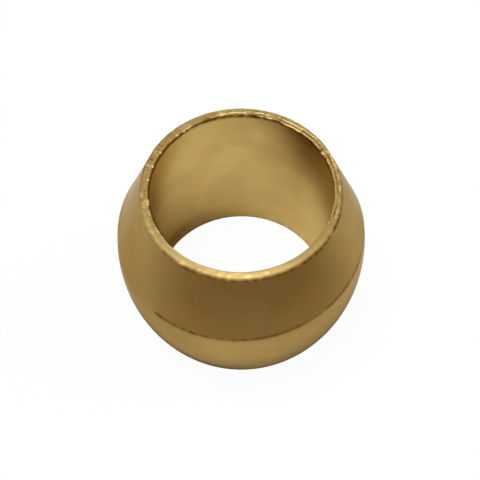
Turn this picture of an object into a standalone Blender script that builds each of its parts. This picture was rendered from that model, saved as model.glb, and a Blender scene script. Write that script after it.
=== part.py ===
"""Brass compression ferrule for 6 mm tube, turned from bar as one piece.

The sleeve has a straight bore, thin flat ends, a rounded crown below and one long straight cone above.
It stands on its lower end with the bore along +Z and its origin at the centre of that end.
"""

import math

import bmesh
import bpy
from mathutils import Vector

MM = 0.001

# Bore, with running room for a 6 mm tube
BORE_DIAMETER = 6.10 * MM

# Wall thicknesses, measured outwards from the bore
END_WALL = 0.26 * MM
CROWN_WALL = 1.20 * MM

# Lengths along the axis, stacked from the lower end to the upper end
CROWN_RISE = 3.32 * MM
CROWN_FALL = 0.62 * MM
CONE_LENGTH = 2.54 * MM

# Radii on the edges that the tools leave
BORE_EDGE_RADIUS = 0.05 * MM
OUTER_EDGE_RADIUS = 0.03 * MM

# Fineness of the turned surfaces
TURN_STEPS = 96
CROWN_STEPS = 14
EDGE_STEPS = 3
CREASE_ANGLE = math.radians(10)

# Finish of the brass
BRASS_COLOUR = (0.60, 0.43, 0.15, 1.0)
BRASS_ROUGHNESS = 0.32

BORE_RADIUS = BORE_DIAMETER / 2
END_RADIUS = BORE_RADIUS + END_WALL
CROWN_RADIUS = BORE_RADIUS + CROWN_WALL
CREASE_HEIGHT = CROWN_RISE + CROWN_FALL
LENGTH = CREASE_HEIGHT + CONE_LENGTH


def crown_arc_radius():
    """Radius of the form tool's arc, which is upright at the fullest part and meets the lower end."""
    bulge = CROWN_WALL - END_WALL
    return (CROWN_RISE**2 + bulge**2) / (2 * bulge)


def crown_point(height):
    """Point of the crown's outline, as radius and height."""
    arc = crown_arc_radius()
    drop = arc - math.sqrt(arc**2 - (height - CROWN_RISE) ** 2)
    return Vector((CROWN_RADIUS - drop, height))


def crown_outline():
    """The crown from the lower end up to the crease where the cone starts."""
    heights = [CREASE_HEIGHT * step / CROWN_STEPS for step in range(CROWN_STEPS + 1)]
    return [crown_point(height) for height in heights]


def rounded_corner(before, corner, after, radius):
    """Arc of the given radius in place of a corner, limited to half of the shorter side."""
    towards_before = before - corner
    towards_after = after - corner
    half_angle = towards_before.angle(towards_after) / 2
    shorter = min(towards_before.length, towards_after.length)
    setback = min(radius / math.tan(half_angle), shorter / 2)
    radius = setback * math.tan(half_angle)
    bisector = (towards_before.normalized() + towards_after.normalized()).normalized()
    centre = corner + bisector * radius / math.sin(half_angle)
    start = corner + towards_before.normalized() * setback - centre
    turn = start.angle_signed(corner + towards_after.normalized() * setback - centre)
    arc = []
    for step in range(EDGE_STEPS + 1):
        angle = -turn * step / EDGE_STEPS
        cosine, sine = math.cos(angle), math.sin(angle)
        arc.append(centre + Vector((start.x * cosine - start.y * sine, start.x * sine + start.y * cosine)))
    return arc


def section():
    """Closed outline of the wall, as radius and height, going round from the lower end of the bore."""
    bore_low = Vector((BORE_RADIUS, 0))
    bore_high = Vector((BORE_RADIUS, LENGTH))
    end_high = Vector((END_RADIUS, LENGTH))
    crown = crown_outline()
    end_low, crown_start, crease = crown[0], crown[1], crown[-1]
    return [
        *rounded_corner(bore_high, bore_low, end_low, BORE_EDGE_RADIUS),
        *rounded_corner(bore_low, end_low, crown_start, OUTER_EDGE_RADIUS),
        *crown[1:],
        *rounded_corner(crease, end_high, bore_high, OUTER_EDGE_RADIUS),
        *rounded_corner(end_high, bore_high, bore_low, BORE_EDGE_RADIUS),
    ]


def turned(name, outline):
    """Mesh of a closed outline turned a full revolution about the Z axis."""
    shape = bmesh.new()
    corners = [shape.verts.new((point.x, 0, point.y)) for point in outline]
    sides = [shape.edges.new((corner, corners[index - 1])) for index, corner in enumerate(corners)]
    bmesh.ops.spin(
        shape,
        geom=corners + sides,
        cent=(0, 0, 0),
        axis=(0, 0, 1),
        angle=math.tau,
        steps=TURN_STEPS,
        use_merge=True,
    )
    bmesh.ops.recalc_face_normals(shape, faces=shape.faces)
    mesh = bpy.data.meshes.new(name)
    shape.to_mesh(mesh)
    shape.free()
    mesh.shade_smooth()
    mesh.set_sharp_from_angle(angle=CREASE_ANGLE)
    return mesh


def brass():
    """Turned brass, dull gold with a soft sheen."""
    material = bpy.data.materials.new("brass")
    material.use_nodes = True
    shader = material.node_tree.nodes["Principled BSDF"]
    shader.inputs["Base Color"].default_value = BRASS_COLOUR
    shader.inputs["Metallic"].default_value = 1.0
    shader.inputs["Roughness"].default_value = BRASS_ROUGHNESS
    return material


def main():
    for leftover in list(bpy.data.objects):
        bpy.data.objects.remove(leftover)
    ferrule = bpy.data.objects.new("ferrule", turned("ferrule", section()))
    ferrule.data.materials.append(brass())
    bpy.context.scene.collection.objects.link(ferrule)


main()
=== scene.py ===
import math
from collections import namedtuple

import bpy
import numpy as np
from mathutils import Matrix, Vector


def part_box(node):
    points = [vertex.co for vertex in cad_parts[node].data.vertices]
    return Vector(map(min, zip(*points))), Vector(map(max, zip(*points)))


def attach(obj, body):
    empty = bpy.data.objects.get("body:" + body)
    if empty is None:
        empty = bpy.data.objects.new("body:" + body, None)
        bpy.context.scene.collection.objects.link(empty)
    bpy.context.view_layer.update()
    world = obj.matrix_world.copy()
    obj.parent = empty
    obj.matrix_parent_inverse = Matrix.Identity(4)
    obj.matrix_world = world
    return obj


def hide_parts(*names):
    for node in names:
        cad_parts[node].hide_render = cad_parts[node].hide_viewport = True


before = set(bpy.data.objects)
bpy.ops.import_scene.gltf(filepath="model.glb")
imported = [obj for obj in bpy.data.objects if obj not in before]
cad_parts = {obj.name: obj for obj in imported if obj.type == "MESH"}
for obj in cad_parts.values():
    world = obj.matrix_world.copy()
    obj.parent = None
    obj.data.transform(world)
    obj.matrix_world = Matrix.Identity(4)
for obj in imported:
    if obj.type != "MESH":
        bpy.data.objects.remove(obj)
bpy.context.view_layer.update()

MM = 0.001

# Places round the ring are in degrees from +X towards +Y: the right is 0, the back 90 and the front -90.
# A stretch of the ring fades out beyond its start and its end. A spot is strongest at its place.
Stretch = namedtuple("Stretch", "start end fade amount", defaults=[1])
Spot = namedtuple("Spot", "at length amount", defaults=[1])

# Sizes of the turned ferrule, from the frame and from its drawing
LOW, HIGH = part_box("ferrule")
LENGTH = HIGH.z - LOW.z
CROWN_RADIUS = (HIGH.x - LOW.x) / 2
BORE_RADIUS = 3.05 * MM
END_WALL = 0.26 * MM
END_RADIUS = BORE_RADIUS + END_WALL
CROWN_HEIGHT = 3.32 * MM
CREASE_HEIGHT = 3.985 * MM
BORE_EDGE_RADIUS = 0.045 * MM
LOWER_BORE_EDGE_RADIUS = 0.015 * MM
OUTER_EDGE_RADIUS = 0.06 * MM

# The crease between crown and cone runs askew, highest at the right, and is nearly level behind
CREASE_TILT = 0.195 * MM
CREASE_TILT_TOWARDS = -9
CREASE_LEVEL = Stretch(28, 152, 24, 1.1)

# It is a fine groove with old cutting oil, faint at the right and closed at the left
CREASE_DEPTH = 0.014 * MM
CREASE_HALF_WIDTH = 0.055 * MM
CREASE_OIL_HALF_WIDTH = 0.085 * MM
CREASE_FAINT = Stretch(-8, 40, 16, 0.75)
CREASE_CLOSED = Stretch(-178, -137, 7)
CREASE_SPOT = Spot(-130.5, 1.6, 0.5)

# Where it is closed, the corner between crown and cone is rounded off
CREASE_ROUNDING = 0.020 * MM
CREASE_ROUNDED_HALF_WIDTH = 0.30 * MM

# At the left, a little behind the middle, the metal stands slightly fuller round the crease
FULLER = Spot(165.0, 12.0, 0.040 * MM)
FULLER_HALF_HEIGHT = 0.22 * MM

# Short scratches across the crease: place, lean in degrees for each millimetre up, reach up and down
Tick = namedtuple("Tick", "at lean reach")
TICK_HALF_WIDTH = 0.6
CREASE_TICKS = [
    Tick(-117.0, 5, 0.10),
    Tick(-114.0, 4, 0.07),
    Tick(30.0, 6, 0.08),
    Tick(95.0, -4, 0.09),
]

# The parting tool left the upper end slightly below full length and rounded it, most in front
END_ROOM = 0.016 * MM
NEAR_END = 0.5 * MM
BEAD_DROP = 0.074 * MM
BEAD_CURVE = 1.6
BEAD_ENDS_BELOW = 0.30 * MM
BEAD_BEHIND = 0.35
BEAD_IN_FRONT = Stretch(-128, -50, 50, 0.65)

# A point of the cone that drops moves outwards by this share of its drop, and so stays on the cone
CONE_SPREAD = (CROWN_RADIUS - END_RADIUS) / (LENGTH - CREASE_HEIGHT)

# The upper end is slightly narrower in front and at the sides than behind
NARROWER = 0.034 * MM
FULL_WIDTH = Stretch(45, 135, 45)

# Its lip is rolled outwards, with a hollow under it and a brown line of painted shade in that hollow
LIP = 0.030 * MM
LIP_BELOW = 0.050 * MM
LIP_HALF_HEIGHT = 0.045 * MM
LIP_IN_FRONT = Stretch(-135, -30, 45)
UNDERCUT = 0.003 * MM
UNDERCUT_BELOW = 0.105 * MM
UNDERCUT_HALF_HEIGHT = 0.045 * MM
UNDERCUT_WIDER = Stretch(-45, 10, 15, 0.3)
HOLLOW_AND_SHADE_UNDER_LIP = Stretch(-122, 6, 16)
HOLLOW_AND_SHADE_STRONGER = Stretch(-26, -14, 4, 0.5)

# One spur stands out of the rolled lip at the front left, with a pit beside it under the lip
SPUR = Spot(-126.0, 1.5)
SPUR_REACH = 0.045 * MM
PIT = Spot(-136.5, 1.3)

# At the left the edge of the bore is rolled inwards below the bright rim, with painted shade on it
ROLLED_IN = 0.080 * MM
ROLLED_IN_BELOW = 0.090 * MM
ROLLED_IN_HALF_HEIGHT = 0.055 * MM
ROLLED_IN_ALONG = Stretch(135, 212, 10)

# Stretches of the upper end that the parting tool left in different states
END_BEHIND = Stretch(22, 104, 10)
END_LEFT = Stretch(140, 212, 10)
END_RIGHT = Stretch(-26, 26, 8)
END_FRONT = Stretch(-140, -36, 12)

# Heights in millimetres of the random relief on the upper end
CHATTER = 0.0042
LUMPS = 0.0060
TORN_GRAIN = 0.0032

# Marks on the upper end. Places across the wall run from 0 at the bore to 1 outside. Lengths are in
# degrees, widths in walls and heights in millimetres, and heights below 0 are hollows.
Mark = namedtuple("Mark", "at across length width height")
END_MARKS = [
    Mark(-178.5, 0.72, 1.3, 0.22, 0.008),
    Mark(-174.2, 0.45, 0.4, 0.50, -0.008),
    Mark(-172.7, 0.50, 0.9, 0.30, 0.012),
    Mark(-168.8, 0.35, 0.8, 0.22, 0.010),
    Mark(-167.3, 0.12, 0.6, 0.18, -0.010),
    Mark(-166.3, 0.80, 1.4, 0.18, 0.008),
    Mark(-150.0, 0.13, 4.5, 0.10, 0.006),
    Mark(-149.0, 0.80, 7.0, 0.14, 0.006),
    Mark(-125.7, 0.84, 0.9, 0.22, 0.014),
    Mark(-114.6, 0.70, 2.0, 0.34, 0.006),
    Mark(-111.0, 0.72, 1.3, 0.30, 0.007),
    Mark(-103.2, 0.60, 1.3, 0.30, 0.007),
    Mark(-97.0, 0.60, 1.9, 0.32, 0.009),
    Mark(-86.6, 0.60, 2.9, 0.34, 0.010),
    Mark(-79.5, 0.75, 2.4, 0.30, 0.006),
    Mark(-75.0, 0.45, 1.8, 0.30, 0.007),
    Mark(-57.0, 0.15, 7.0, 0.18, -0.005),
    Mark(-26.5, 1.05, 1.2, 0.14, -0.012),
    Mark(-18.2, 0.80, 0.9, 0.20, 0.012),
    Mark(-15.3, 0.72, 0.7, 0.20, 0.012),
    Mark(1.5, 0.80, 0.7, 0.20, 0.011),
    Mark(8.5, 0.20, 3.0, 0.12, 0.006),
    Mark(9.8, 0.76, 0.7, 0.18, 0.010),
    Mark(15.0, 0.76, 0.8, 0.25, 0.008),
    Mark(18.5, 0.76, 1.2, 0.25, 0.007),
    Mark(28.0, 0.05, 0.8, 0.16, 0.020),
    Mark(30.3, 0.25, 0.6, 0.30, -0.020),
    Mark(41.5, 0.60, 1.2, 0.15, 0.008),
    Mark(48.0, 0.30, 0.5, 0.35, -0.020),
    Mark(59.0, -0.05, 0.9, 0.14, 0.018),
    Mark(64.0, 0.50, 0.4, 0.35, -0.014),
    Mark(65.3, 0.00, 1.2, 0.16, -0.026),
    Mark(76.0, 0.02, 0.8, 0.13, 0.018),
    Mark(82.5, 0.05, 2.4, 0.20, -0.026),
    Mark(87.0, 0.45, 1.2, 0.13, 0.014),
    Mark(99.6, 0.02, 0.8, 0.15, -0.022),
    Mark(101.3, 0.48, 1.0, 0.14, 0.014),
    Mark(105.0, 0.06, 0.6, 0.15, -0.016),
    Mark(111.2, 0.05, 2.3, 0.32, -0.030),
    Mark(119.5, 0.25, 1.5, 0.20, -0.006),
    Mark(122.6, 0.18, 0.6, 0.16, 0.014),
    Mark(124.8, 0.02, 2.0, 0.12, 0.018),
    Mark(133.0, 0.08, 1.0, 0.14, 0.014),
    Mark(139.3, 0.14, 0.6, 0.12, 0.012),
    Mark(150.0, 0.02, 0.8, 0.11, 0.018),
    Mark(153.0, 0.02, 1.0, 0.11, -0.016),
    Mark(161.5, 0.00, 0.9, 0.12, 0.018),
    Mark(171.5, 0.04, 1.0, 0.12, 0.010),
]

# Rings that the parting tool cut into the end face a little off centre, deepest behind at the right
Ring = namedtuple("Ring", "across width height")
RINGS_ASIDE = 0.35
RINGS_TOWARDS = 10
END_RINGS = [
    Ring(0.62, 0.12, -0.008),
    Ring(0.37, 0.12, 0.013),
    Ring(0.11, 0.10, -0.022),
    Ring(-0.14, 0.12, 0.014),
]

# Burrs that stand into the bore from the edge of the upper end, with their reach in millimetres
BURR_BELOW = 0.03 * MM
BURR_HALF_HEIGHT = 0.035 * MM
RAGGED = Stretch(25, 215, 15)
BORE_BURRS = [
    Spot(28.0, 0.9, 0.035),
    Spot(51.5, 2.6, 0.036),
    Spot(56.0, 3.0, 0.026),
    Spot(60.0, 2.4, 0.048),
    Spot(71.5, 2.4, 0.022),
    Spot(76.0, 0.8, 0.026),
    Spot(92.0, 6.0, 0.018),
    Spot(102.0, 2.0, 0.028),
    Spot(124.8, 2.2, 0.030),
    Spot(128.3, 0.9, 0.065),
    Spot(133.2, 1.0, 0.014),
    Spot(150.0, 0.8, 0.020),
    Spot(161.5, 0.9, 0.026),
    Spot(171.5, 1.0, 0.014),
    Spot(187.8, 2.2, 0.030),
    Spot(196.0, 2.4, 0.012),
]

# The lower edge of the bore is sharper, with a slight even burr
LOWER_BURR = 0.016 * MM
LOWER_BURR_HALF_HEIGHT = 0.06 * MM

# The lower end was cut the same way. Its marks are turned from those above, and all are hollows.
LOWER_END_TURN = 140
LOWER_MARKS_SUNK = 0.004

# Painted shade in the bore, brown, for the shaded floor that it mirrors: place, half length in degrees,
# depths where one is full and where it is gone
BoreShade = namedtuple("BoreShade", "at half_length full gone strength")
BORE_SHADE = [
    BoreShade(43.0, 19.0, 1.2, 2.9, 0.82),
    BoreShade(52.0, 20.0, 0.1, 0.7, 0.32),
    BoreShade(150.0, 23.0, 6.0, 4.7, 0.50),
    BoreShade(138.0, 30.0, 6.45, 5.7, 0.70),
    BoreShade(178.0, 24.0, 1.5, 0.3, 0.70),
    BoreShade(90.0, 300.0, 2.4, 1.1, 0.25),
    BoreShade(97.0, 38.0, 6.45, 5.8, 0.34),
]

# Darkening, stains, and rubbed metal with painted highlights on the upper end: a stretch of the ring, where
# it is bare and where it is full across the wall, and how strong it is there
Patch = namedtuple("Patch", "start end fade bare full amount")
END_DARKENING = [
    Patch(-118, -104, 5, 0.66, 0.95, 0.30),
    Patch(-84, -46, 8, 0.66, 0.95, 0.30),
    Patch(8, 40, 8, 0.60, 0.30, 0.24),
    Patch(130, 215, 10, 0.00, 0.40, 0.14),
    Patch(126, 222, 10, 0.72, 0.95, 0.10),
]
END_STAINS = [Patch(-132, -45, 12, 0.66, 0.96, 0.75)]
END_HIGHLIT = [Patch(-108, -72, 16, 0.00, 0.30, 0.30)]
INNER_RIM_BRIGHTER = [
    Patch(-150, -118, 8, 0.45, 0.05, 0.20),
    Patch(-136, -92, 10, 0.45, 0.05, 0.42),
    Patch(-92, -50, 10, 0.45, 0.05, 0.16),
]
INNER_RIM_DEPTH = 0.2 * MM

# Darkening on the corner outside, a dull stretch of the wall, and painted highlights along the middle of
# the wall
CORNER_DARKENING = [Stretch(-45, 180, 10, 0.2), Stretch(126, 165, 8, 0.5)]
DULL_WALL = Stretch(108, 150, 8, 0.14)
MIDDLE_OF_WALL = 0.68
MIDDLE_HALF_WIDTH = 0.28
MIDDLE_HIGHLIT = [Stretch(-158, -122, 8, 0.38), Stretch(-60, -42, 12, 0.24)]
MIDDLE_BRIGHT_SPOT = Spot(-126, 5, 0.26)

# The painted shade under the lip is browner in front, and less dark there
BROWN_SHADE_UNDER_LIP = Stretch(-130, -55, 12, 0.6)
LESS_SHADE_UNDER_LIP = [Stretch(-130, -55, 12, 0.1), Stretch(-102, -88, 6, 0.4)]

# Old oil in the crease and its scratches, painted shade under the lip and on the edge rolled inwards, and
# oil with painted shade in hollows
OIL_IN_CREASE = 0.85
OIL_IN_TICKS = 0.6
SHADE_UNDER_LIP = 0.95
OIL_AND_SHADE_IN_HOLLOWS = 0.65
SHADE_ON_ROLLED_IN = 0.7

# Old oil and painted shade along both edges of the bore, full up to one distance from the end and gone at
# the other
BORE_EDGE_OIL_AND_SHADE = Stretch(-16, 224, 10)
BORE_EDGE_DARK_FULL_TO = 0.11 * MM
BORE_EDGE_DARK_TO = 0.23 * MM
LOWER_EDGE_OIL_AND_SHADE = Stretch(85, 170, 20, 0.6)
LOWER_EDGE_DARK_ELSEWHERE = 0.1
LOWER_EDGE_DARK_FULL_TO = 0.05 * MM
LOWER_EDGE_DARK_TO = 0.17 * MM

# The cone has painted shade low at the left, is slightly darker high at the right, and has a painted sheen
# just above the crease
CONE_SHADE = Spot(198, 28, 0.42)
CONE_DARKER_HIGH = Spot(10, 14, 0.15)
LOW_ON_CONE = 4.8 * MM
HIGH_ON_CONE = 6.2 * MM
SHEEN_ON_SHOULDERS = [Spot(22, 13, 0.85), Spot(160, 12, 0.50)]
SHEEN_FROM_CREASE = 0.15 * MM

# Millimetres of depth at which a hollow starts to hold oil and painted shade, and holds them fully
HOLLOW_FROM, HOLLOW_FULL_FROM = 0.002, 0.016

# Millimetres at which a bump or a burr starts to be rubbed and painted with a highlight and is fully so,
# and how bright
BUMP_FROM, BUMP_FULL_FROM = 0.002, 0.012
BURR_FROM, BURR_FULL_FROM = 0.008, 0.03
BUMPS_RUBBED_AND_HIGHLIT = 0.6
BUMPS_BRIGHTER = Stretch(22, 104, 10, 0.3)
LIP_HIGHLIT = 0.4

# Fineness of the mesh. The offsets beside the crease and below the ends are in millimetres.
ROUND_STEPS = 720
CROWN_ROWS = 22
CONE_ROWS = 12
BORE_ROWS = 12
FACE_ROWS = 15
LOWER_FACE_ROWS = 6
BESIDE_CREASE = (0.008, 0.02, 0.035, 0.055, 0.08, 0.11, 0.15)
BELOW_END = (0.03, 0.06, 0.09, 0.12, 0.15, 0.18, 0.22, 0.28)
BELOW_BORE_EDGE = (0.015, 0.03, 0.05, 0.08, 0.12, 0.2)

# The corner outside the lower end is rounded towards the crown's point at this height
CORNER_AIM = 0.3 * MM

# Points of the outline are stored to about this many metres
HAIR = 1e-9

# The view: looking down on the ferrule from the front with a long lens
VIEW_ELEVATION = math.radians(58.97)
VIEW_ROLL = math.radians(-0.55)
VIEW_DISTANCE = 49.38 * MM
VIEW_AIM_RIGHT = -0.055 * MM
VIEW_AIM_UP = 1.716 * MM
LENS = 101.09
SENSOR = 36.0

# Colours of the one brass in its states
# The tumbled outside and the cut ends are darker than the reamed bore partly from tarnish and partly as
# painted shade, for the dimmer surroundings that they mirror
TUMBLED_BRASS = (0.434, 0.291, 0.104)
HAZED_BRASS = (0.376, 0.247, 0.085)
CUT_BRASS = (0.38, 0.273, 0.089)
REAMED_BRASS = (0.790, 0.622, 0.253)
# Rubbed brass also paints highlights, the oil and stain browns also paint shade, and the pale brass paints
# a sheen
RUBBED_AND_HIGHLIT_BRASS = (0.80, 0.60, 0.24)
EDGE_TINT = (0.80, 0.72, 0.56)
OIL_AND_SHADE_BROWN = (0.150, 0.064, 0.009)
STAIN_AND_SHADE_BROWN = (0.360, 0.198, 0.052)
SHEEN_BRASS = (0.440, 0.350, 0.165)
WARM_TINT = (1.05, 0.975, 1.00)
OLIVE_TINT = (0.95, 1.025, 0.93)

# Its finishes, one for each zone. Pitch, depth of the rings and size of the patches are in millimetres.
Finish = namedtuple("Finish", "name clean hazed roughness pitch ring_depth streaks patch_size haze tint")
FINISHES = {
    "outside": Finish(
        "tumbled brass", TUMBLED_BRASS, HAZED_BRASS, roughness=0.33,
        pitch=0.09, ring_depth=0.0010, streaks=0.35, patch_size=1.6, haze=0.5, tint=0.9,
    ),
    "upper end": Finish(
        "cut brass", CUT_BRASS, TUMBLED_BRASS, roughness=0.36,
        pitch=0.035, ring_depth=0.0012, streaks=0.35, patch_size=0.35, haze=0.5, tint=1.2,
    ),
    "bore": Finish(
        "reamed brass", REAMED_BRASS, TUMBLED_BRASS, roughness=0.33,
        pitch=0.12, ring_depth=0.0008, streaks=0.22, patch_size=1.8, haze=0.22, tint=0.4,
    ),
    "lower end": Finish(
        "cut brass below", CUT_BRASS, TUMBLED_BRASS, roughness=0.30,
        pitch=0.035, ring_depth=0.0025, streaks=0.35, patch_size=0.5, haze=0.6, tint=1.0,
    ),
}
RING_WAVER = 0.12
PATCH_SHARPNESS = 0.6
SMOOTHER_IN_PATCHES, ROUGHER_IN_PATCHES = 0.03, 0.05
GRAIN_IN_BUMP = 0.4
OIL_ROUGHER = 0.22
RUBBED_SMOOTHER = 0.06

# Noises of the soft patches: name, how much finer than the patches, detail and roughness
CLOUDS = [("Patches", 1, 4, 0.55), ("Tint", 2.3, 1, 0.5), ("Grain", 14, 2, 0.5)]

# Noises of the turning rings: name, how much coarser than the pitch, and detail
TURNED = [("Height", 1, 3), ("Streaks", 7, 2)]

# The shared noises lie mostly between these two values
NOISE_RANGE = (0.35, 0.65)
STAIN_UNEVEN = (0.9, 1.1)

# The floor, and the share of it that is plain white to the camera and to the metal
FLOOR_HALF_SIDE = 0.6
FLOOR_WHITE = (0.96, 0.96, 0.96)
FLOOR_EVEN_TO_CAMERA = 0.96
FLOOR_EVEN_TO_METAL = 0.03

# The card that the metal mirrors, brown in front as painted shade of the floor there. Its sides fade out
# between two cosines of the angle from the front.
CARD_HEIGHT = 0.05 * MM
CARD_FROM = 5.5 * MM
CARD_FULL_FROM = 17.0 * MM
CARD_TO = 150 * MM
CARD_TURN = math.radians(8)
CARD_SIDES_FROM, CARD_SIDES_FULL_FROM = -0.26, 0.72
CARD_SHADE_COLOUR = (0.320, 0.221, 0.110)

# The dark oval at the foot, on the same card: a painted contact shadow that the metal mirrors
FOOT_FROM = 3.15 * MM
FOOT_FULL_TO = 3.60 * MM
FOOT_TO = 3.78 * MM
FOOT_WIDER = 1.25
FOOT_SHADOW_COLOUR = (0.03, 0.025, 0.02)

# Lamps: where each stands and how wide it looks from the ferrule, in degrees. The azimuth runs from the
# front anticlockwise seen from above, and the level is how bright the lamp alone makes a white floor.
# A lamp is either mirrored by the metal or lights what is matt.
Lamp = namedtuple("Lamp", "name azimuth elevation half_width level mirrored")
LAMPS = [
    Lamp("key", 271, 78, 9, 0.68, False),
    Lamp("side", 102, 40, 14, 0.19, False),
    Lamp("top", 0, 80, 15, 0.115, True),
]
LAMP_DISTANCE = 0.12
WORLD_ON_MATT = 0.15


def apart(degrees, place):
    """Angle from a place round the ring, from minus to plus half a turn."""
    return (degrees - place + 180) % 360 - 180


def bell(distance, width):
    """Smooth bump, 1 at its middle."""
    return np.exp(-((distance / width) ** 2))


def step_between(value, low, high):
    """Smooth rise from 0 to 1 between two values."""
    share = np.clip((value - low) / (high - low), 0, 1)
    return share * share * (3 - 2 * share)


def along(degrees, *stretches):
    """Strength of stretches at places round the ring."""
    strength = np.zeros_like(degrees)
    for stretch in stretches:
        half = (stretch.end - stretch.start) / 2
        distance = np.abs(apart(degrees, stretch.start + half))
        strength += stretch.amount * (1 - step_between(distance, half, half + stretch.fade))
    return strength


def around(degrees, *spots):
    """Strength of spots at places round the ring."""
    strength = np.zeros_like(degrees)
    for spot in spots:
        strength += spot.amount * bell(apart(degrees, spot.at), spot.length)
    return strength


def waver(degrees, slowest, fastest, seed):
    """Random curve round the ring, about -1 to 1, from its slowest to its fastest number of whole waves."""
    random = np.random.default_rng(seed)
    waves = np.arange(slowest, fastest + 1)
    sizes = random.normal(size=waves.size)
    starts = random.uniform(0, math.tau, waves.size)
    angle = np.radians(degrees)
    curve = np.zeros_like(angle)
    for wave, size, start in zip(waves, sizes, starts):
        curve += size * np.cos(wave * angle + start)
    return curve / math.sqrt(waves.size)


def grain(degrees, across, slowest, fastest, tracks, seed):
    """Random relief on the ring: separate wavers on tracks across it, blended into each other."""
    place = np.clip(across, 0, 1) * (tracks - 1)
    relief = np.zeros_like(degrees)
    for track in range(tracks):
        weight = np.clip(1 - np.abs(place - track), 0, 1)
        relief += weight * waver(degrees[:, :1], slowest, fastest, seed + track)
    return relief


def make_camera():
    """Camera looking down at the ferrule from the front."""
    back = Vector((0, -math.cos(VIEW_ELEVATION), math.sin(VIEW_ELEVATION)))
    level = Vector((1, 0, 0))
    upright = back.cross(level)
    right = math.cos(VIEW_ROLL) * level + math.sin(VIEW_ROLL) * upright
    up = back.cross(right)
    camera = bpy.data.objects.new("camera", bpy.data.cameras.new("camera"))
    bpy.context.scene.collection.objects.link(camera)
    camera.data.lens = LENS
    camera.data.sensor_width = SENSOR
    camera.data.clip_start = 1 * MM
    camera.data.clip_end = 10
    turn = Matrix((right, up, back)).transposed().to_4x4()
    place = back * VIEW_DISTANCE + right * VIEW_AIM_RIGHT + up * VIEW_AIM_UP
    camera.matrix_world = Matrix.Translation(place) @ turn
    bpy.context.scene.camera = camera


def crown_arc_radius():
    """Radius of the form tool's arc, upright at the fullest part and meeting the lower end."""
    bulge = CROWN_RADIUS - END_RADIUS
    return (CROWN_HEIGHT**2 + bulge**2) / (2 * bulge)


def crown_radius_at(height):
    """Radius of the crown at a height."""
    arc = crown_arc_radius()
    return CROWN_RADIUS - arc + np.sqrt(arc**2 - (height - CROWN_HEIGHT) ** 2)


def crown_point(height):
    """Point of the crown's outline at a height."""
    return Vector((float(crown_radius_at(height)), height))


def rounded_corner(before, corner, after, radius, steps):
    """Arc in place of a corner of the outline."""
    towards_before = (before - corner).normalized()
    towards_after = (after - corner).normalized()
    half_angle = towards_before.angle(towards_after) / 2
    setback = radius / math.tan(half_angle)
    centre = corner + (towards_before + towards_after).normalized() * radius / math.sin(half_angle)
    start = corner + towards_before * setback - centre
    end = corner + towards_after * setback - centre
    sweep = math.atan2(start.x * end.y - start.y * end.x, start.dot(end))
    return [centre + Matrix.Rotation(sweep * step / steps, 2) @ start for step in range(steps + 1)]


def between(start, end, shares):
    """Points on a straight run at the given shares of its length."""
    return [start.lerp(end, float(share)) for share in shares]


def inner_shares(count):
    """Even shares of a run without its two ends."""
    return np.linspace(0, 1, count + 2)[1:-1]


def crown_run(start):
    """Points of the crown from a height up to the last one below the crease."""
    heights = list(np.linspace(start, CREASE_HEIGHT - BESIDE_CREASE[-1] * MM, CROWN_ROWS)[1:])
    heights += [CREASE_HEIGHT - offset * MM for offset in reversed(BESIDE_CREASE[:-1])]
    return [crown_point(height) for height in heights]


def cone_run(crease, end):
    """Points of the straight cone, finer beside the crease and below its end."""
    slant = (end - crease).length / MM
    beside = [offset / slant for offset in (0, *BESIDE_CREASE)]
    below = [1 - offset / slant for offset in reversed(BELOW_END)]
    middle = list(beside[-1] + (below[0] - beside[-1]) * inner_shares(CONE_ROWS))
    return between(crease, end, beside + middle + below)


def bore_run(top, bottom):
    """Points down the bore, finer below its upper edge."""
    depth = (top - bottom).length / MM
    shares = [offset / depth for offset in BELOW_BORE_EDGE]
    shares += list(shares[-1] + (1 - shares[-1]) * inner_shares(BORE_ROWS))
    return between(top, bottom, shares)


def section():
    """Closed outline of the wall, as lists of radius, height and zone, from the lower end of the bore."""
    top = LENGTH - END_ROOM
    bore_low, bore_high = Vector((BORE_RADIUS, 0)), Vector((BORE_RADIUS, top))
    end_low, end_high = Vector((END_RADIUS, 0)), Vector((END_RADIUS, top))
    crease = crown_point(CREASE_HEIGHT)
    lower_inner = rounded_corner(bore_high, bore_low, end_low, LOWER_BORE_EDGE_RADIUS, 4)
    lower_outer = rounded_corner(bore_low, end_low, crown_point(CORNER_AIM), OUTER_EDGE_RADIUS, 5)
    upper_outer = rounded_corner(crease, end_high, bore_high, OUTER_EDGE_RADIUS, 8)
    upper_inner = rounded_corner(end_high, bore_high, bore_low, BORE_EDGE_RADIUS, 6)
    runs = [
        ("lower end", lower_inner),
        ("lower end", between(lower_inner[-1], lower_outer[0], inner_shares(LOWER_FACE_ROWS))),
        ("lower end", lower_outer),
        ("outside", crown_run(lower_outer[-1].y)),
        ("outside", cone_run(crease, upper_outer[0])),
        ("upper end", upper_outer),
        ("upper end", between(upper_outer[-1], upper_inner[0], inner_shares(FACE_ROWS))),
        ("upper end", upper_inner),
        ("bore", bore_run(upper_inner[-1], lower_inner[0])),
    ]
    points = [point for _, run in runs for point in run]
    zones = np.array([zone for zone, run in runs for _ in run])
    return np.array([point.x for point in points]), np.array([point.y for point in points]), zones


def outline_normals(radius, height):
    """Outward directions along the closed outline."""
    along_radius = np.roll(radius, -1) - np.roll(radius, 1)
    along_height = np.roll(height, -1) - np.roll(height, 1)
    length = np.hypot(along_radius, along_height)
    return along_height / length, -along_radius / length


def askew_crease(degrees):
    """Height of the crease round the ring, more level behind than in front."""
    tilt = CREASE_TILT * (1 - along(degrees, CREASE_LEVEL))
    return CREASE_HEIGHT + tilt * np.cos(np.radians(degrees - CREASE_TILT_TOWARDS))


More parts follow.
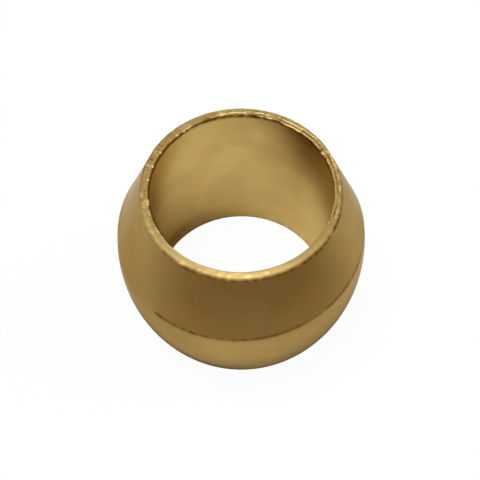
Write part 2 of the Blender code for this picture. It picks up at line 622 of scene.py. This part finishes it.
def set_askew(degrees, radii, heights, zones):
    """Radii and heights with the crown up to the askew crease, and the cone straight from there."""
    outside = zones == "outside"
    on_crown = outside & (heights < CREASE_HEIGHT - HAIR)
    on_cone = outside & ~on_crown
    crease = askew_crease(degrees)
    crown_heights = heights * crease / CREASE_HEIGHT
    crown_radii = crown_radius_at(np.where(on_crown, crown_heights, CROWN_HEIGHT))
    cone_top = heights[on_cone].max()
    cone_top_radius = radii[on_cone & (heights == cone_top)].min()
    narrower = NARROWER * (1 - along(degrees, FULL_WIDTH))
    share = (heights - CREASE_HEIGHT) / (cone_top - CREASE_HEIGHT)
    cone_heights = crease + share * (cone_top - crease)
    cone_radii = crown_radius_at(crease) * (1 - share) + (cone_top_radius - narrower) * share
    near_corner = step_between(radii, END_RADIUS - 2 * OUTER_EDGE_RADIUS, END_RADIUS)
    other_radii = radii - narrower * (zones == "upper end") * near_corner
    return (
        np.where(on_crown, crown_radii, np.where(on_cone, cone_radii, other_radii)),
        np.where(on_crown, crown_heights, np.where(on_cone, cone_heights, heights)),
    )


# The skin of the ferrule as a grid, with columns round the ring and rows along its outline. Radii, heights
# and distances from the crease and the upper end are in metres, and the relief of the end in millimetres.
Skin = namedtuple(
    "Skin",
    "degrees radii heights out up zones outside upper_end lower_end bore "
    "above_crease below_end across relief",
)


def turned_skin():
    """The ferrule as it is turned, before wear and tool marks shift its points."""
    radius, height, zones = section()
    out, up = outline_normals(radius, height)
    places = np.arange(ROUND_STEPS) * 360 / ROUND_STEPS
    degrees, radii = np.meshgrid(places, radius, indexing="ij")
    radii, heights = set_askew(degrees, radii, np.broadcast_to(height, degrees.shape), zones)
    across = (radii - BORE_RADIUS) / END_WALL
    return Skin(
        degrees=degrees,
        radii=radii,
        heights=heights,
        out=out,
        up=up,
        zones=zones,
        outside=zones == "outside",
        upper_end=zones == "upper end",
        lower_end=zones == "lower end",
        bore=zones == "bore",
        above_crease=heights - askew_crease(degrees),
        below_end=LENGTH - heights,
        across=across,
        relief=end_relief(degrees, across),
    )


def crease_groove(skin, half_width):
    """Groove of the crease: strong in front, faint at the right and closed at the left."""
    degrees = skin.degrees
    strength = 0.74 + 0.20 * waver(degrees, 5, 24, 11) + 0.16 * waver(degrees, 30, 80, 12)
    strength = strength * (1 - along(degrees, CREASE_FAINT))
    strength = strength * (1 - along(degrees, CREASE_CLOSED)) + around(degrees, CREASE_SPOT)
    return skin.outside * bell(skin.above_crease, half_width) * np.clip(strength, 0, 1.15)


def crease_ticks(skin):
    """Short scratches across the crease, at the front left and here and there behind."""
    ticks = np.zeros_like(skin.degrees)
    for tick in CREASE_TICKS:
        aside = apart(skin.degrees, tick.at + tick.lean * skin.above_crease / MM)
        ticks += 0.6 * bell(aside, TICK_HALF_WIDTH) * bell(skin.above_crease, tick.reach * MM)
    return skin.outside * np.clip(ticks, 0, 1)


def crease_push(skin):
    """How far the crease and what is beside it stands out of the turned skin."""
    push = -CREASE_DEPTH * (crease_groove(skin, CREASE_HALF_WIDTH) + 0.5 * crease_ticks(skin))
    beside_corner = np.clip(1 - np.abs(skin.above_crease) / CREASE_ROUNDED_HALF_WIDTH, 0, 1) ** 2
    push -= CREASE_ROUNDING * skin.outside * along(skin.degrees, CREASE_CLOSED) * beside_corner
    fuller = skin.outside * bell(skin.above_crease, FULLER_HALF_HEIGHT)
    return push + fuller * around(skin.degrees, FULLER)


def end_relief(degrees, across):
    """Relief of an end face in millimetres: rings, chatter, lumps, torn grain and single marks."""
    behind = along(degrees, END_BEHIND)
    left = along(degrees, END_LEFT)
    right = along(degrees, END_RIGHT)
    front = along(degrees, END_FRONT)
    sway = 0.04 * waver(degrees, 2, 9, 21) + 0.03 * waver(degrees, 12, 60, 23)
    sway += RINGS_ASIDE * np.cos(np.radians(degrees - RINGS_TOWARDS))
    broken = 0.75 + 0.40 * waver(degrees, 6, 34, 22) + 0.30 * waver(degrees, 40, 110, 24)
    rings = np.zeros_like(degrees)
    for ring in END_RINGS:
        rings += ring.height * bell(across - ring.across - sway, ring.width)
    chatter = grain(degrees, across, 90, 190, 3, 31)
    lumps = grain(degrees, across, 14, 70, 4, 41)
    torn = grain(degrees, across, 80, 170, 7, 51)
    relief = rings * np.clip(broken, 0.1, 1.5) * (behind + 0.5 * right + 0.35 * left)
    relief += CHATTER * chatter * (left + 0.5 * right + 0.35 * behind)
    relief += LUMPS * lumps * (0.2 * front + right + left + 0.8 * behind)
    relief += TORN_GRAIN * torn * (1 - 0.85 * front)
    for mark in END_MARKS:
        length = bell(apart(degrees, mark.at), mark.length)
        relief += mark.height * length * bell(across - mark.across, mark.width)
    return relief


def face_push(skin):
    """How far the cut faces stand out: the marks of the upper end, and hollows in the lower end."""
    push = skin.upper_end * np.clip(skin.up, 0, 1) * skin.relief * MM
    below = end_relief((skin.degrees + LOWER_END_TURN) % 360, skin.across)
    hollows = np.minimum(below - LOWER_MARKS_SUNK, 0)
    return push + skin.lower_end * np.clip(-skin.up, 0, 1) * hollows * MM


def near_end(skin):
    """1 on the upper end and on the top of the cone."""
    return (skin.outside | skin.upper_end) & (skin.below_end < NEAR_END)


def bead_drop(skin):
    """How far the end face falls away outwards: a round bead in front, flatter behind."""
    strength = BEAD_BEHIND + along(skin.degrees, BEAD_IN_FRONT)
    fading = 1 - step_between(skin.below_end, OUTER_EDGE_RADIUS, BEAD_ENDS_BELOW)
    return near_end(skin) * fading * strength * BEAD_DROP * np.clip(skin.across, 0, 1) ** BEAD_CURVE


def lip_strength(degrees):
    """How far the lip is rolled outwards round the ring: most in front, least behind, and wavy."""
    front = along(degrees, LIP_IN_FRONT)
    wavy = 0.16 * waver(degrees, 10, 40, 61) + 0.24 * waver(degrees, 45, 85, 62)
    return np.clip(0.20 + 0.25 * front + wavy * (0.5 + 0.5 * front), -0.3, 1.2)


def hollow_and_shade_strength(degrees):
    """How strong the hollow and its brown line of painted shade are under the lip, in front and at the
    right.
    """
    wavy = 0.22 * waver(degrees, 12, 50, 63) + 0.22 * waver(degrees, 50, 90, 64)
    stronger = 1 + along(degrees, HOLLOW_AND_SHADE_STRONGER)
    return np.clip(0.70 + wavy, 0.15, 1.1) * stronger * along(degrees, HOLLOW_AND_SHADE_UNDER_LIP)


def on_lip(skin):
    """1 along the middle of the rolled lip."""
    return near_end(skin) * np.clip(skin.out, 0, 1) * bell(skin.below_end - LIP_BELOW, LIP_HALF_HEIGHT)


def under_lip(skin):
    """The hollow under the lip, with the pit beside the spur."""
    half_height = UNDERCUT_HALF_HEIGHT * (1 + along(skin.degrees, UNDERCUT_WIDER))
    hollow = near_end(skin) * bell(skin.below_end - UNDERCUT_BELOW, half_height)
    return hollow * (hollow_and_shade_strength(skin.degrees) + around(skin.degrees, PIT))


def lip_push(skin):
    """How far the lip and its spur stand out, and how deep the hollow under them is."""
    reach = LIP * lip_strength(skin.degrees) + SPUR_REACH * around(skin.degrees, SPUR)
    return on_lip(skin) * reach - UNDERCUT * under_lip(skin)


def burr_reach(degrees):
    """Reach of the torn edge into the bore, in metres."""
    ragged = along(degrees, RAGGED)
    reach = 0.006 + 0.006 * np.clip(waver(degrees, 25, 120, 71), 0, 2) * (0.25 + ragged)
    return (reach + around(degrees, *BORE_BURRS)) * MM


def on_bore_edge(skin):
    """1 along the upper edge of the bore, where its burrs stand."""
    facing = np.clip(0.35 - skin.out, 0, 1)
    return (skin.bore | skin.upper_end) * facing * bell(skin.below_end - BURR_BELOW, BURR_HALF_HEIGHT)


def rolled_in(skin):
    """1 along the middle of the edge that is rolled into the bore at the left."""
    facing = np.clip(-skin.out, 0, 1) * along(skin.degrees, ROLLED_IN_ALONG)
    level = bell(skin.below_end - ROLLED_IN_BELOW, ROLLED_IN_HALF_HEIGHT)
    return (skin.bore | skin.upper_end) * facing * level


def edge_shift(skin):
    """How far the edges of the bore stand into it: burrs, the rolled edge, and the fine burr below."""
    lower_edge = (skin.bore | skin.lower_end) * np.clip(-skin.out, 0, 1)
    lower_burr = LOWER_BURR * lower_edge * bell(skin.heights, LOWER_BURR_HALF_HEIGHT)
    return on_bore_edge(skin) * burr_reach(skin.degrees) + ROLLED_IN * rolled_in(skin) + lower_burr


def worn_points(skin):
    """Points of the skin with all the marks of tools and wear."""
    push = crease_push(skin) + lip_push(skin) + face_push(skin)
    drop = bead_drop(skin)
    spread = CONE_SPREAD * drop * np.clip(skin.across, 0, 1) ** 2
    radii = skin.radii - edge_shift(skin) + push * skin.out + spread
    heights = np.minimum(skin.heights + push * skin.up - drop, LENGTH)
    angles = np.radians(skin.degrees)
    return np.stack([radii * np.cos(angles), radii * np.sin(angles), heights], -1)


def patches_on(skin, patches):
    """Strength of patches across the wall of the upper end."""
    strength = np.zeros_like(skin.degrees)
    for patch in patches:
        stretch = Stretch(patch.start, patch.end, patch.fade, patch.amount)
        share = step_between((skin.across - patch.bare) / (patch.full - patch.bare), 0, 1)
        strength += along(skin.degrees, stretch) * share
    return strength


def bore_edge_oil_and_shade(skin):
    """Old oil and painted shade along the upper and the lower edge of the bore."""
    uneven = 0.85 + 0.2 * waver(skin.degrees, 12, 70, 81)
    inside = np.where(skin.bore, 1, step_between(-skin.out, 0.45, 0.85))
    above = 1 - step_between(skin.below_end, BORE_EDGE_DARK_FULL_TO, BORE_EDGE_DARK_TO)
    below = 1 - step_between(skin.heights, LOWER_EDGE_DARK_FULL_TO, LOWER_EDGE_DARK_TO)
    upper = (skin.bore | skin.upper_end) * inside * above * uneven * along(skin.degrees, BORE_EDGE_OIL_AND_SHADE)
    lower = skin.bore * below * (LOWER_EDGE_DARK_ELSEWHERE + along(skin.degrees, LOWER_EDGE_OIL_AND_SHADE))
    return upper + lower


def oil_and_shade(skin):
    """How much old oil and painted shade lies on each point: in the crease and the hollows, and along the
    edges.
    """
    degrees = skin.degrees
    oil_and_painted_light = OIL_IN_CREASE * np.clip(crease_groove(skin, CREASE_OIL_HALF_WIDTH), 0, 1)
    oil_and_painted_light += OIL_IN_TICKS * crease_ticks(skin)
    oil_and_painted_light += (SHADE_UNDER_LIP - along(degrees, *LESS_SHADE_UNDER_LIP)) * under_lip(skin)
    hollows = step_between(-skin.relief, HOLLOW_FROM, HOLLOW_FULL_FROM) * step_between(skin.up, 0.2, 0.8)
    corner = along(degrees, *CORNER_DARKENING) * step_between(skin.out, 0.3, 0.7)
    oil_and_painted_light += skin.upper_end * (OIL_AND_SHADE_IN_HOLLOWS * hollows + corner + patches_on(skin, END_DARKENING))
    oil_and_painted_light += bore_edge_oil_and_shade(skin) + SHADE_ON_ROLLED_IN * rolled_in(skin)
    high = step_between(skin.heights, LOW_ON_CONE, HIGH_ON_CONE)
    return oil_and_painted_light + skin.outside * high * around(degrees, CONE_DARKER_HIGH)


def stain_and_shade(skin):
    """How brown each point is from stains and painted shade: in the bore, on the end, under the lip and low
    on the cone.
    """
    degrees = skin.degrees
    depth = skin.below_end / MM
    browning = np.zeros_like(degrees)
    for spot in BORE_SHADE:
        share = step_between((depth - spot.gone) / (spot.full - spot.gone), 0, 1)
        browning += skin.bore * spot.strength * bell(apart(degrees, spot.at), spot.half_length) * share
    browning += skin.upper_end * (patches_on(skin, END_STAINS) + along(degrees, DULL_WALL))
    browning += along(degrees, BROWN_SHADE_UNDER_LIP) * under_lip(skin)
    low = 1 - step_between(skin.heights, LOW_ON_CONE, HIGH_ON_CONE)
    return browning + skin.outside * low * around(degrees, CONE_SHADE)


def painted_sheen(skin):
    """How strong the painted sheen is at each point, on the shoulders of the cone just above the crease."""
    above = step_between(skin.above_crease, 0, SHEEN_FROM_CREASE)
    return skin.outside * above * around(skin.degrees, *SHEEN_ON_SHOULDERS)


def rubbed_and_highlit(skin):
    """How bright each point is rubbed and painted with highlights: bumps and burrs, the lip, and parts of
    the rim.
    """
    degrees = skin.degrees
    bumps = BUMPS_RUBBED_AND_HIGHLIT + along(degrees, BUMPS_BRIGHTER)
    bumps = bumps * step_between(skin.relief, BUMP_FROM, BUMP_FULL_FROM)
    middle = bell(skin.across - MIDDLE_OF_WALL, MIDDLE_HALF_WIDTH)
    middle = middle * (along(degrees, *MIDDLE_HIGHLIT) + around(degrees, MIDDLE_BRIGHT_SPOT))
    rub = skin.upper_end * (bumps + middle + patches_on(skin, END_HIGHLIT))
    inner_rim = (skin.upper_end | skin.bore) * (skin.below_end < INNER_RIM_DEPTH)
    rub += inner_rim * patches_on(skin, INNER_RIM_BRIGHTER)
    rub += on_lip(skin) * (LIP_HIGHLIT * np.clip(lip_strength(degrees), 0, 1) + around(degrees, SPUR))
    long_burrs = step_between(burr_reach(degrees) / MM, BURR_FROM, BURR_FULL_FROM)
    return rub + on_bore_edge(skin) * long_burrs


def ring_faces(columns, rows):
    """Four-sided faces of a grid that closes on itself both ways."""
    column = np.arange(columns)[:, None]
    row = np.arange(rows)[None, :]
    next_column = (column + 1) % columns
    next_row = (row + 1) % rows
    corners = (
        column * rows + row,
        next_column * rows + row,
        next_column * rows + next_row,
        column * rows + next_row,
    )
    return np.stack(corners, -1).reshape(-1, 4)


def ferrule_mesh():
    """The worn skin as a mesh, with a finish for each zone and its masks as attributes."""
    skin = turned_skin()
    mesh = bpy.data.meshes.new("ferrule_body")
    points = worn_points(skin).reshape(-1, 3)
    mesh.from_pydata(points.tolist(), [], ring_faces(*skin.degrees.shape).tolist())
    order = np.array([list(FINISHES).index(zone) for zone in skin.zones])
    mesh.polygons.foreach_set("material_index", np.tile(order, ROUND_STEPS))
    masks = {"oil_and_shade": oil_and_shade(skin), "rubbed_and_highlit": rubbed_and_highlit(skin), "stain_and_shade": stain_and_shade(skin), "painted_sheen": painted_sheen(skin)}
    for name, amount in masks.items():
        attribute = mesh.attributes.new(name, "FLOAT", "POINT")
        attribute.data.foreach_set("value", np.clip(amount, 0, 1).astype(np.float32).ravel())
    mesh.update()
    mesh.shade_smooth()
    return mesh


def add_node(tree, kind, inputs=None, **settings):
    """Node with its settings, and its inputs as plain values or as the outputs that feed them."""
    node = tree.nodes.new(kind)
    for name, value in settings.items():
        setattr(node, name, value)
    for name, value in (inputs or {}).items():
        if isinstance(value, bpy.types.NodeSocket):
            tree.links.new(value, node.inputs[name])
        else:
            node.inputs[name].default_value = value
    return node


def math_node(tree, operation, first, second=0.0):
    """Sum, product or the like of two values."""
    return add_node(tree, "ShaderNodeMath", {0: first, 1: second}, operation=operation).outputs[0]


def vector_node(tree, operation, inputs):
    """Node that works on a vector."""
    return add_node(tree, "ShaderNodeVectorMath", inputs, operation=operation)


def mapped(tree, value, given, wanted=(0, 1), kind="LINEAR"):
    """Value carried over from one range to another, and held at its ends."""
    inputs = {
        "Value": value,
        "From Min": given[0],
        "From Max": given[1],
        "To Min": wanted[0],
        "To Max": wanted[1],
    }
    return add_node(tree, "ShaderNodeMapRange", inputs, interpolation_type=kind).outputs[0]


def mix_colour(tree, share, first, second):
    """Two colours mixed, all the second at a share of 1."""
    node = add_node(tree, "ShaderNodeMix", {"Factor": share}, data_type="RGBA")
    for name, value in (("A", first), ("B", second)):
        socket = next(item for item in node.inputs if item.name == name and item.type == "RGBA")
        if isinstance(value, bpy.types.NodeSocket):
            tree.links.new(value, socket)
        else:
            socket.default_value = (*value, 1)
    return next(item for item in node.outputs if item.type == "RGBA")


def new_group(name, inputs, outputs):
    """Shader node group with its sockets, and its input and output nodes."""
    tree = bpy.data.node_groups.new(name, "ShaderNodeTree")
    for socket, (kind, value) in inputs.items():
        item = tree.interface.new_socket(socket, in_out="INPUT", socket_type=kind)
        item.default_value = value
    for socket, kind in outputs.items():
        tree.interface.new_socket(socket, in_out="OUTPUT", socket_type=kind)
    return tree, tree.nodes.new("NodeGroupInput").outputs, tree.nodes.new("NodeGroupOutput").inputs


def turning_rings():
    """Fine rings that the tool leaves round the axis, with slow streaks among them."""
    tree, given, out = new_group(
        "turning rings",
        {"Pitch in mm": ("NodeSocketFloat", 0.05), "Waver": ("NodeSocketFloat", 0.1)},
        {"Height": "NodeSocketFloat", "Streaks": "NodeSocketFloat"},
    )
    place = add_node(tree, "ShaderNodeTexCoord").outputs["Object"]
    in_mm = vector_node(tree, "SCALE", {0: place, "Scale": 1 / MM}).outputs[0]
    parts = add_node(tree, "ShaderNodeSeparateXYZ", {0: in_mm}).outputs
    flat = add_node(tree, "ShaderNodeCombineXYZ", {"X": parts["X"], "Y": parts["Y"]}).outputs[0]
    radius = vector_node(tree, "LENGTH", {0: flat}).outputs["Value"]
    outline = math_node(tree, "SUBTRACT", parts["Z"], radius)
    across_x = math_node(tree, "MULTIPLY", parts["X"], given["Waver"])
    across_y = math_node(tree, "MULTIPLY", parts["Y"], given["Waver"])
    for output, coarser, detail in TURNED:
        pitch = math_node(tree, "MULTIPLY", given["Pitch in mm"], coarser)
        ring = math_node(tree, "DIVIDE", outline, pitch)
        spot = add_node(tree, "ShaderNodeCombineXYZ", {"X": across_x, "Y": across_y, "Z": ring}).outputs[0]
        noise = add_node(tree, "ShaderNodeTexNoise", {"Vector": spot, "Scale": 1.0, "Detail": detail})
        tree.links.new(noise.outputs["Fac"], out[output])
    return tree


def soft_patches():
    """Cloudy patches where the finish is hazed by handling and tumbling, finer tints and a fine grain."""
    tree, given, out = new_group(
        "soft patches",
        {"Size in mm": ("NodeSocketFloat", 1.0), "Sharpness": ("NodeSocketFloat", 0.5)},
        {"Patches": "NodeSocketFloat", "Tint": "NodeSocketFloat", "Grain": "NodeSocketFloat"},
    )
    place = add_node(tree, "ShaderNodeTexCoord").outputs["Object"]
    scale = math_node(tree, "DIVIDE", 1 / MM, given["Size in mm"])
    noises = {}
    for name, finer, detail, roughness in CLOUDS:
        fineness = math_node(tree, "MULTIPLY", scale, finer)
        inputs = {"Vector": place, "Scale": fineness, "Detail": detail, "Roughness": roughness}
        noises[name] = add_node(tree, "ShaderNodeTexNoise", inputs).outputs["Fac"]
    spread = math_node(tree, "MULTIPLY", given["Sharpness"], -0.25)
    low = math_node(tree, "ADD", spread, 0.48)
    high = math_node(tree, "SUBTRACT", 0.52, spread)
    tree.links.new(mapped(tree, noises["Patches"], (low, high), kind="SMOOTHSTEP"), out["Patches"])
    tree.links.new(mapped(tree, noises["Tint"], NOISE_RANGE), out["Tint"])
    tree.links.new(noises["Grain"], out["Grain"])
    return tree


def oil_shade_and_highlights():
    """The metal's colour, and over it painted sheen, rubbed metal and painted highlights, stains and
    painted shade, and old oil and painted shade, each by its mask.
    """
    tree, given, out = new_group(
        "oil shade and highlights",
        {
            "Colour": ("NodeSocketColor", (1, 1, 1, 1)),
            "Oil And Shade Colour": ("NodeSocketColor", (*OIL_AND_SHADE_BROWN, 1)),
            "Rubbed And Highlight Colour": ("NodeSocketColor", (*RUBBED_AND_HIGHLIT_BRASS, 1)),
            "Stain And Shade Colour": ("NodeSocketColor", (*STAIN_AND_SHADE_BROWN, 1)),
            "Sheen Colour": ("NodeSocketColor", (*SHEEN_BRASS, 1)),
            "Roughness": ("NodeSocketFloat", 0.3),
            "Streaks": ("NodeSocketFloat", 0.5),
        },
        {"Colour": "NodeSocketColor", "Roughness": "NodeSocketFloat"},
    )
    masks = {}
    for name in ("oil_and_shade", "rubbed_and_highlit", "stain_and_shade", "painted_sheen"):
        masks[name] = add_node(tree, "ShaderNodeAttribute", attribute_name=name).outputs["Fac"]
    streaked = mapped(tree, given["Streaks"], NOISE_RANGE, STAIN_UNEVEN)
    stain_and_shade_share = math_node(tree, "MULTIPLY", masks["stain_and_shade"], streaked)
    sheened = mix_colour(tree, masks["painted_sheen"], given["Colour"], given["Sheen Colour"])
    bright = mix_colour(tree, masks["rubbed_and_highlit"], sheened, given["Rubbed And Highlight Colour"])
    browned = mix_colour(tree, stain_and_shade_share, bright, given["Stain And Shade Colour"])
    tree.links.new(mix_colour(tree, masks["oil_and_shade"], browned, given["Oil And Shade Colour"]), out["Colour"])
    duller = math_node(tree, "MULTIPLY", masks["oil_and_shade"], OIL_ROUGHER)
    smoother = math_node(tree, "MULTIPLY", masks["rubbed_and_highlit"], -RUBBED_SMOOTHER)
    change = math_node(tree, "ADD", duller, smoother)
    tree.links.new(math_node(tree, "ADD", given["Roughness"], change), out["Roughness"])
    return tree


def shaded(colour, tint, amount):
    """Colour moved towards a tint by an amount."""
    return [part * (1 + amount * (share - 1)) for part, share in zip(colour, tint)]


def brass_colour(tree, finish, rings, patches):
    """Colour of a finish: warm and olive tints, hazed in the patches and the streaks."""
    warm = shaded(finish.clean, WARM_TINT, finish.tint)
    olive = shaded(finish.clean, OLIVE_TINT, finish.tint)
    tinted = mix_colour(tree, patches["Tint"], warm, olive)
    haze = math_node(tree, "MULTIPLY", patches["Patches"], finish.haze)
    streaks = math_node(tree, "MULTIPLY", rings["Streaks"], finish.streaks)
    return mix_colour(tree, math_node(tree, "ADD", haze, streaks), tinted, finish.hazed)


def brass(finish, groups):
    """Brass with one of the finishes of the ferrule."""
    material = bpy.data.materials.new(finish.name)
    material.use_nodes = True
    tree = material.node_tree
    shader = tree.nodes["Principled BSDF"]
    shader.inputs["Metallic"].default_value = 1
    shader.inputs["Specular Tint"].default_value = (*EDGE_TINT, 1)
    values = {"Pitch in mm": finish.pitch, "Waver": RING_WAVER}
    rings = add_node(tree, "ShaderNodeGroup", values, node_tree=groups["rings"]).outputs
    values = {"Size in mm": finish.patch_size, "Sharpness": PATCH_SHARPNESS}
    patches = add_node(tree, "ShaderNodeGroup", values, node_tree=groups["patches"]).outputs
    roughness = (finish.roughness - SMOOTHER_IN_PATCHES, finish.roughness + ROUGHER_IN_PATCHES)
    values = {
        "Colour": brass_colour(tree, finish, rings, patches),
        "Roughness": mapped(tree, patches["Patches"], (0, 1), roughness),
        "Streaks": rings["Height"],
    }
    marked = add_node(tree, "ShaderNodeGroup", values, node_tree=groups["oil_and_painted_light"]).outputs
    grains = math_node(tree, "MULTIPLY", patches["Grain"], GRAIN_IN_BUMP)
    height = math_node(tree, "ADD", rings["Height"], grains)
    values = {"Height": height, "Strength": 1.0, "Distance": finish.ring_depth * MM}
    bump = add_node(tree, "ShaderNodeBump", values)
    tree.links.new(marked["Colour"], shader.inputs["Base Color"])
    tree.links.new(marked["Roughness"], shader.inputs["Roughness"])
    tree.links.new(bump.outputs["Normal"], shader.inputs["Normal"])
    return material


def add_ferrule():
    """The ferrule in place of its plain solid."""
    mesh = ferrule_mesh()
    groups = {"rings": turning_rings(), "patches": soft_patches(), "oil_and_painted_light": oil_shade_and_highlights()}
    for finish in FINISHES.values():
        mesh.materials.append(brass(finish, groups))
    body = bpy.data.objects.new("ferrule_body", mesh)
    bpy.context.scene.collection.objects.link(body)
    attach(body, "root")
    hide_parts("ferrule")


def flat_sheet(name, half_side, height):
    """Level square sheet for the studio, with an empty material."""
    corners = [(x * half_side, y * half_side, height) for x, y in ((-1, -1), (1, -1), (1, 1), (-1, 1))]
    mesh = bpy.data.meshes.new(name)
    mesh.from_pydata(corners, [], [(0, 1, 2, 3)])
    sheet = bpy.data.objects.new(name, mesh)
    bpy.context.scene.collection.objects.link(sheet)
    material = bpy.data.materials.new(name)
    material.use_nodes = True
    material.node_tree.nodes.clear()
    mesh.materials.append(material)
    return sheet, material.node_tree


def mix_shader(tree, share, first, second):
    """Two shaders mixed, all the second at a share of 1."""
    return add_node(tree, "ShaderNodeMixShader", {0: share, 1: first, 2: second}).outputs[0]


def seen_share(tree, camera_share, metal_share):
    """One share for what the camera sees, another for what the metal reflects, and none for the rest."""
    rays = add_node(tree, "ShaderNodeLightPath").outputs
    mirrored = math_node(tree, "MAXIMUM", rays["Is Glossy Ray"], rays["Is Transmission Ray"])
    seen = math_node(tree, "MULTIPLY", rays["Is Camera Ray"], camera_share)
    reflected = math_node(tree, "MULTIPLY", mirrored, metal_share)
    return math_node(tree, "MAXIMUM", seen, reflected)


def add_floor():
    """White floor that keeps a faint shadow."""
    floor, tree = flat_sheet("floor", FLOOR_HALF_SIDE, 0)
    lit = add_node(tree, "ShaderNodeBsdfDiffuse", {"Color": (*FLOOR_WHITE, 1)}).outputs[0]
    even = add_node(tree, "ShaderNodeEmission", {"Color": (1, 1, 1, 1), "Strength": 1.0}).outputs[0]
    share = seen_share(tree, FLOOR_EVEN_TO_CAMERA, FLOOR_EVEN_TO_METAL)
    add_node(tree, "ShaderNodeOutputMaterial", {"Surface": mix_shader(tree, share, lit, even)})


def brown_share(tree, place):
    """1 on the card in front of the ferrule, with soft edges."""
    distance = vector_node(tree, "LENGTH", {0: place}).outputs["Value"]
    parts = add_node(tree, "ShaderNodeSeparateXYZ", {0: place}).outputs
    forward = math_node(tree, "MULTIPLY", parts["Y"], -1.0)
    facing = math_node(tree, "DIVIDE", forward, distance)
    far_enough = mapped(tree, distance, (CARD_FROM, CARD_FULL_FROM), kind="SMOOTHSTEP")
    in_front = mapped(tree, facing, (CARD_SIDES_FROM, CARD_SIDES_FULL_FROM), kind="SMOOTHSTEP")
    return math_node(tree, "MULTIPLY", far_enough, in_front)


def foot_shadow_share(tree, place):
    """1 in the dark oval of painted contact shadow at the foot of the ferrule, and 0 under its bore."""
    distance = vector_node(tree, "LENGTH", {0: place}).outputs["Value"]
    beyond_bore = math_node(tree, "GREATER_THAN", distance, FOOT_FROM)
    narrowed = vector_node(tree, "MULTIPLY", {0: place, 1: (1 / FOOT_WIDER, 1, 1)}).outputs[0]
    oval = vector_node(tree, "LENGTH", {0: narrowed}).outputs["Value"]
    near = mapped(tree, oval, (FOOT_TO, FOOT_FULL_TO), kind="SMOOTHSTEP")
    return math_node(tree, "MULTIPLY", beyond_bore, near)


def add_card():
    """Card that only the metal mirrors: brown in front as painted shade, a painted contact shadow in an
    oval at the foot, else clear.
    """
    card, tree = flat_sheet("card", CARD_TO, CARD_HEIGHT)
    card.rotation_euler.z = CARD_TURN
    place = add_node(tree, "ShaderNodeTexCoord").outputs["Object"]
    brown = add_node(tree, "ShaderNodeBsdfDiffuse", {"Color": (*CARD_SHADE_COLOUR, 1)}).outputs[0]
    contact_shadow = add_node(tree, "ShaderNodeBsdfDiffuse", {"Color": (*FOOT_SHADOW_COLOUR, 1)}).outputs[0]
    clear = add_node(tree, "ShaderNodeBsdfTransparent").outputs[0]
    mixed = mix_shader(tree, brown_share(tree, place), clear, brown)
    mixed = mix_shader(tree, foot_shadow_share(tree, place), mixed, contact_shadow)
    add_node(tree, "ShaderNodeOutputMaterial", {"Surface": mixed})
    card.visible_camera = False
    card.visible_diffuse = False
    card.visible_shadow = False


def add_lamp(lamp):
    """Square soft lamp aimed at the ferrule."""
    turn, lift = math.radians(lamp.azimuth), math.radians(lamp.elevation)
    out = Vector((math.sin(turn) * math.cos(lift), -math.cos(turn) * math.cos(lift), math.sin(lift)))
    light = bpy.data.objects.new(lamp.name, bpy.data.lights.new(lamp.name, "AREA"))
    light.data.shape = "SQUARE"
    light.data.size = 2 * LAMP_DISTANCE * math.tan(math.radians(lamp.half_width))
    light.data.energy = lamp.level * math.pi**2 * LAMP_DISTANCE**2 / math.sin(lift)
    light.location = out * LAMP_DISTANCE
    light.rotation_euler = out.to_track_quat("Z", "Y").to_euler()
    light.visible_glossy = lamp.mirrored
    light.visible_diffuse = not lamp.mirrored
    bpy.context.scene.collection.objects.link(light)


def add_light():
    """Plain white surroundings, a high key lamp at the left, a weak one at the right and one overhead."""
    world = bpy.data.worlds.new("world")
    world.use_nodes = True
    tree = world.node_tree
    strength = mapped(tree, seen_share(tree, 1.0, 1.0), (0, 1), (WORLD_ON_MATT, 1))
    tree.links.new(strength, tree.nodes["Background"].inputs["Strength"])
    tree.nodes["Background"].inputs["Color"].default_value = (1, 1, 1, 1)
    bpy.context.scene.world = world
    for lamp in LAMPS:
        add_lamp(lamp)
    bpy.context.scene.view_settings.view_transform = "Standard"


make_camera()
add_ferrule()
add_floor()
add_card()
add_light()
